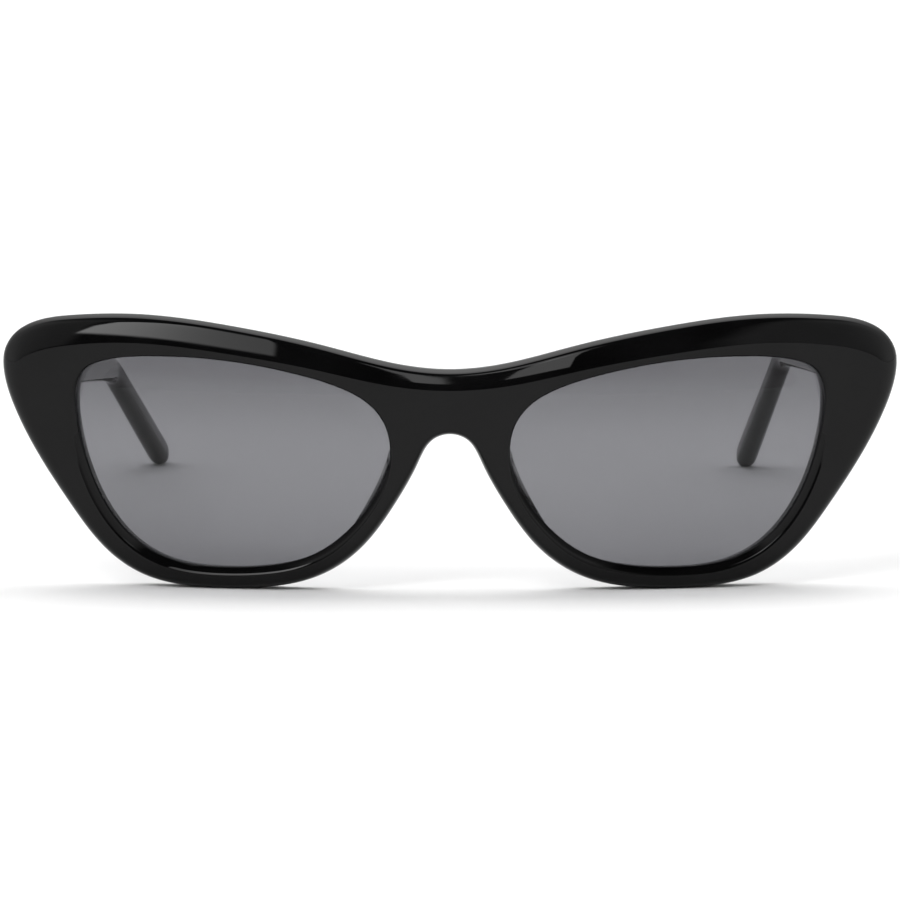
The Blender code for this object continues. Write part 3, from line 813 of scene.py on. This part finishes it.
def build_temple(side, sign, look):
    """A temple from its butt over the ear bend to the round tip."""
    stations = temple_stations(TEMPLE_FIT[side])
    reach = stations[-1][0]
    points = []
    for number, station in enumerate(stations):
        distance, _, _, tip = station
        thickness = TEMPLE_THICKNESS + (TIP_THICKNESS - TEMPLE_THICKNESS) * distance / reach
        flare = min(max((distance - FLARE_START) / (reach - FLARE_START), 0.0), 1.0)
        thickness += TIP_FLARE * flare * flare * (3 - 2 * flare)
        half_height = temple_height(distance) / 2 * math.sqrt(max(1 - tip * tip, 0.0))
        half_width = thickness / 2 * (1 - tip**3) ** 0.5
        corner = min(temple_corner(distance) + TIP_FLARE * flare, 0.96 * half_height, 0.96 * half_width)
        points += temple_section(station, half_width, half_height, corner, sign, number == 0)
    name = f"acetate_temple_{side}"
    temple = add_piece(name, at_axis(points, sign), tube_faces(len(stations), 32), look)
    slope = math.tan(math.radians(TEMPLE_FIT[side]["pitch"]))
    pocket, pocket_faces = temple_pocket(sign, POCKET_GAP, slope)
    carve(temple, add_piece(f"{side}_temple_pocket", at_axis(pocket, sign), pocket_faces), "DIFFERENCE")
    return temple


# ---------------------------------------------------------------- materials


def new_material(name):
    """(material, nodes, links, Principled node, object position socket)"""
    made = bpy.data.materials.new(name)
    made.use_nodes = True
    nodes, links = made.node_tree.nodes, made.node_tree.links
    place = nodes.new("ShaderNodeTexCoord").outputs["Object"]
    return made, nodes, links, nodes["Principled BSDF"], place


def noise(nodes, links, place, scale, detail=3.0, stretch=(1, 1, 1)):
    """Soft noise from 0 to 1, closer along an axis whose stretch is larger."""
    mapping = nodes.new("ShaderNodeMapping")
    mapping.inputs["Scale"].default_value = stretch
    links.new(place, mapping.inputs["Vector"])
    made = nodes.new("ShaderNodeTexNoise")
    made.inputs["Scale"].default_value = scale
    made.inputs["Detail"].default_value = detail
    links.new(mapping.outputs["Vector"], made.inputs["Vector"])
    return made.outputs["Fac"]


def ramp(nodes, links, fac, low, high, start=0.3, end=0.7):
    """A colour or grey value that runs from low to high as fac runs from start to end."""
    made = nodes.new("ShaderNodeValToRGB")
    for stop, where, value in zip(made.color_ramp.elements, (start, end), (low, high)):
        stop.position = where
        stop.color = (*value, 1) if isinstance(value, tuple) else (value, value, value, 1)
    links.new(fac, made.inputs["Fac"])
    return made.outputs["Color"]


def bump(nodes, links, height, distance, strength, shader):
    """Raises the surface by the height, up to the distance in metres."""
    made = nodes.new("ShaderNodeBump")
    made.inputs["Distance"].default_value = distance
    made.inputs["Strength"].default_value = strength
    links.new(height, made.inputs["Height"])
    links.new(made.outputs["Normal"], shader.inputs["Normal"])


def acetate_look(name, roughness, ior):
    """Polished black acetate: nearly black all through, with the slight unevenness of hand polishing."""
    made, nodes, links, shader, place = new_material(name)
    clouds = noise(nodes, links, place, 90.0)
    black = ramp(nodes, links, clouds, (0.0012, 0.0012, 0.0013), (0.003, 0.003, 0.0032))
    links.new(black, shader.inputs["Base Color"])
    haze = noise(nodes, links, place, 260.0)
    links.new(ramp(nodes, links, haze, roughness[0], roughness[1]), shader.inputs["Roughness"])
    wave = noise(nodes, links, place, 55.0, detail=1.0)
    bump(nodes, links, wave, 0.00004, 0.12, shader)
    shader.inputs["IOR"].default_value = ior
    return made


def steel_look(name, low, high, grain):
    """Satin steel with fine drawn lines."""
    made, nodes, links, shader, place = new_material(name)
    lines = noise(nodes, links, place, grain, detail=4.0, stretch=(1, 1, 0.08))
    links.new(ramp(nodes, links, lines, low, high), shader.inputs["Base Color"])
    links.new(ramp(nodes, links, lines, 0.24, 0.38), shader.inputs["Roughness"])
    bump(nodes, links, lines, 0.00002, 0.25, shader)
    shader.inputs["Metallic"].default_value = 1.0
    return made


def lens_look():
    """Grey tinted lens, darker towards the brow, with a clean gloss. Painted shade makes it a little darker
    towards the lower rim: the floor's shadow under the frame, seen through it.
    """
    made, nodes, links, shader, place = new_material("tinted_lens_with_painted_shade")
    nodes.remove(shader)
    split = nodes.new("ShaderNodeSeparateXYZ")
    links.new(place, split.inputs["Vector"])
    height = nodes.new("ShaderNodeMapRange")
    height.inputs["From Min"].default_value = LENS_TINT_AND_SHADE_HEIGHTS[0]
    height.inputs["From Max"].default_value = LENS_TINT_AND_SHADE_HEIGHTS[1]
    links.new(split.outputs["Z"], height.inputs["Value"])
    # Tint up the lens, with painted shade from the floor's shadow towards its foot
    tint_and_shade = nodes.new("ShaderNodeValToRGB")
    stops = tint_and_shade.color_ramp.elements
    tint_and_shade.color_ramp.interpolation = "B_SPLINE"
    stops[-1].position = 1.0
    for where in LENS_TINT_AND_SHADE:
        if 0.0 < where < 1.0:
            stops.new(where)
    for stop, (grey, blue) in zip(stops, LENS_TINT_AND_SHADE.values()):
        stop.color = (grey, grey, blue, 1)
    links.new(height.outputs["Result"], tint_and_shade.inputs["Fac"])
    clear = nodes.new("ShaderNodeBsdfTransparent")
    links.new(tint_and_shade.outputs["Color"], clear.inputs["Color"])
    gloss = nodes.new("ShaderNodeBsdfGlossy")
    smear = noise(nodes, links, place, 70.0)
    links.new(ramp(nodes, links, smear, 0.0, 0.04), gloss.inputs["Roughness"])
    mix = nodes.new("ShaderNodeMixShader")
    links.new(outer_gloss(nodes, links, LENS_REFLECTION), mix.inputs["Fac"])
    links.new(clear.outputs["BSDF"], mix.inputs[1])
    links.new(gloss.outputs["BSDF"], mix.inputs[2])
    links.new(mix.outputs["Shader"], nodes["Material Output"].inputs["Surface"])
    return made


def outer_gloss(nodes, links, straight_on):
    """The share of light that an outer face reflects, growing towards the edge. An inner face has none."""
    edge = nodes.new("ShaderNodeLayerWeight")
    edge.inputs["Blend"].default_value = 0.5
    rise = nodes.new("ShaderNodeMath")
    rise.operation = "POWER"
    rise.inputs[1].default_value = 5.0
    links.new(edge.outputs["Facing"], rise.inputs[0])
    share = nodes.new("ShaderNodeMapRange")
    share.inputs["To Min"].default_value = straight_on
    links.new(rise.outputs["Value"], share.inputs["Value"])
    inner = nodes.new("ShaderNodeNewGeometry")
    outer = nodes.new("ShaderNodeMath")
    outer.operation = "SUBTRACT"
    outer.inputs[0].default_value = 1.0
    links.new(inner.outputs["Backfacing"], outer.inputs[1])
    both = nodes.new("ShaderNodeMath")
    both.operation = "MULTIPLY"
    links.new(share.outputs["Result"], both.inputs[0])
    links.new(outer.outputs["Value"], both.inputs[1])
    return both.outputs["Value"]


def dress(node, look):
    """Gives a CAD node that stays visible its finished material."""
    node.data.materials.clear()
    node.data.materials.append(look)


# ---------------------------------------------------------------- studio


def build_floor():
    """A plain pale floor, far wider than the view."""
    bpy.ops.mesh.primitive_plane_add(size=FLOOR_SIZE)
    floor = bpy.context.object
    floor.name = "studio_floor"
    made = bpy.data.materials.new("floor_white")
    made.use_nodes = True
    shader = made.node_tree.nodes["Principled BSDF"]
    shader.inputs["Base Color"].default_value = (FLOOR_WHITE, FLOOR_WHITE, FLOOR_WHITE, 1)
    shader.inputs["Roughness"].default_value = 1.0
    shader.inputs["Specular IOR Level"].default_value = 0.0
    floor.data.materials.append(made)


def build_world():
    """A bright dome behind and above, and a dark room in front with soft boxes in it."""
    world = bpy.data.worlds.new("studio_dome")
    bpy.context.scene.world = world
    world.use_nodes = True
    nodes, links = world.node_tree.nodes, world.node_tree.links

    def step(value, low, high, at_low=0.0, at_high=1.0):
        made = nodes.new("ShaderNodeMapRange")
        made.interpolation_type = "SMOOTHSTEP"
        for name, number in zip(("From Min", "From Max", "To Min", "To Max"), (low, high, at_low, at_high)):
            made.inputs[name].default_value = number
        links.new(value, made.inputs["Value"])
        return made.outputs["Result"]

    def maths(operation, *values):
        made = nodes.new("ShaderNodeMath")
        made.operation = operation
        for socket, value in zip(made.inputs, values):
            if isinstance(value, float):
                socket.default_value = value
            else:
                links.new(value, socket)
        return made.outputs["Value"]

    def mix(share, low, high):
        rest = maths("SUBTRACT", 1.0, share)
        return maths("ADD", maths("MULTIPLY", low, rest), maths("MULTIPLY", high, share))

    def leaning(slant):
        return maths("SUBTRACT", azimuth, maths("MULTIPLY", raised, slant))

    split = nodes.new("ShaderNodeSeparateXYZ")
    links.new(nodes.new("ShaderNodeTexCoord").outputs["Generated"], split.inputs["Vector"])
    x, y, z = split.outputs
    ahead = maths("MULTIPLY", y, -1.0)
    azimuth = maths("DEGREES", maths("ARCTAN2", x, ahead))
    height = maths("DEGREES", maths("ARCSINE", z))
    back = step(height, *DOME_HEIGHTS, *DOME_LIGHT)
    raised = maths("MAXIMUM", maths("SUBTRACT", height, WIDE_BOX_HEIGHTS[0]), 0.0)
    middle = maths("MULTIPLY", step(azimuth, *ROOM_LEFT), step(leaning(ROOM_RIGHT_SLANT), *ROOM_RIGHT))
    aside = step(maths("ABSOLUTE", azimuth), *ROOM_SIDE_SPAN, *ROOM_SIDE_LIGHT)
    aside = mix(step(height, *ROOM_SIDE_HEIGHTS), aside, ROOM_DARK)
    front = mix(middle, aside, ROOM_DARK)
    front = mix(step(height, *HORIZON_FADE), DOME_LIGHT[0], front)
    total = mix(step(ahead, *ROOM_EDGE), back, front)
    (low, high), foot = WIDE_BOX_HEIGHTS, WIDE_BOX_FOOT_SOFTNESS
    inside = step(height, low - foot, low + foot)
    inside = maths("MULTIPLY", inside, step(height, high, high - WIDE_BOX_TOP_FADE))
    softness = (WIDE_BOX_END_SOFTNESS, -WIDE_BOX_END_SOFTNESS)
    for end, slant, soft in zip(WIDE_BOX_SPAN, WIDE_BOX_SLANTS, softness):
        inside = maths("MULTIPLY", inside, step(leaning(slant), end - soft, end + soft))
    total = mix(inside, total, step(azimuth, *WIDE_BOX_SPAN, *WIDE_BOX_LIGHT))
    nodes["Background"].inputs["Color"].default_value = (1, 1, 1, 1)
    links.new(total, nodes["Background"].inputs["Strength"])


def add_strip_light(name, left, right, radiance):
    """An area light in front of the brow and above it, facing it."""
    light = bpy.data.lights.new(name, "AREA")
    light.shape = "RECTANGLE"
    light.size = (right - left) * MM
    light.size_y = STRIP_LENGTH * MM
    light.energy = radiance * math.pi * light.size * light.size_y
    made = bpy.data.objects.new(name, light)
    bpy.context.scene.collection.objects.link(made)
    brow = stand(wrap(0.0, BROW_MIDDLE, 0.0))
    way = Vector((0, -math.cos(STRIP_HEIGHT), math.sin(STRIP_HEIGHT)))
    made.location = brow + way * STRIP_DISTANCE * MM + Vector(((left + right) / 2 * MM, 0, 0))
    made.rotation_euler = (-way).to_track_quat("-Z", "Y").to_euler()
    made.visible_camera = False


def build_camera():
    """A long lens, far off, a little above and looking slightly down."""
    camera = bpy.data.cameras.new("photo_camera")
    camera.lens = CAMERA_LENS
    camera.sensor_width = CAMERA_SENSOR
    camera.clip_end = 50.0
    holder = bpy.data.objects.new("photo_camera", camera)
    bpy.context.scene.collection.objects.link(holder)
    bridge = stand(wrap(0.0, BRIDGE_TOP, 0.0)).y
    holder.location = (0.0, bridge - CAMERA_DISTANCE, CAMERA_HEIGHT)
    holder.rotation_euler = (math.radians(90) - CAMERA_DOWN, 0, 0)
    bpy.context.scene.camera = holder


# ---------------------------------------------------------------- scene


def main():
    bpy.context.scene.view_settings.view_transform = "Standard"
    acetate = acetate_look("black_acetate", (0.02, 0.05), ACETATE_IOR)
    pad_acetate = acetate_look("pad_acetate", (0.05, 0.09), PAD_IOR)
    tint_and_shade = lens_look()
    steel = steel_look("hinge_steel", (0.5, 0.5, 0.51), (0.68, 0.68, 0.69), 900.0)
    bright_steel = steel_look("screw_steel", (0.6, 0.6, 0.6), (0.78, 0.78, 0.78), 1400.0)
    core_steel = steel_look("core_steel", (0.42, 0.42, 0.44), (0.56, 0.56, 0.58), 900.0)

    front = build_front(acetate)
    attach(front, "front")
    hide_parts("frame_front")
    for side, sign in SIDES.items():
        for build, look, node, slot in (
            (build_lens, tint_and_shade, f"{side}_lens", "lens"),
            (build_nose_pad, pad_acetate, f"{side}_nose_pad", "pad_acetate"),
        ):
            piece = build(side, sign, look)
            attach(piece, "front")
            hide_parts(node)
        temple = build_temple(side, sign, acetate)
        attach(temple, f"{side}_temple")
        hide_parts(f"{side}_temple")
        dress(frame["nodes"][f"{side}_front_hinge"], steel)
        dress(frame["nodes"][f"{side}_temple_hinge"], steel)
        dress(frame["nodes"][f"{side}_hinge_screw"], bright_steel)
        dress(frame["nodes"][f"{side}_core_wire"], core_steel)

    build_floor()
    build_world()
    for name, (left, right, radiance) in STRIPS.items():
        add_strip_light(name, left, right, radiance)
    build_camera()


main()
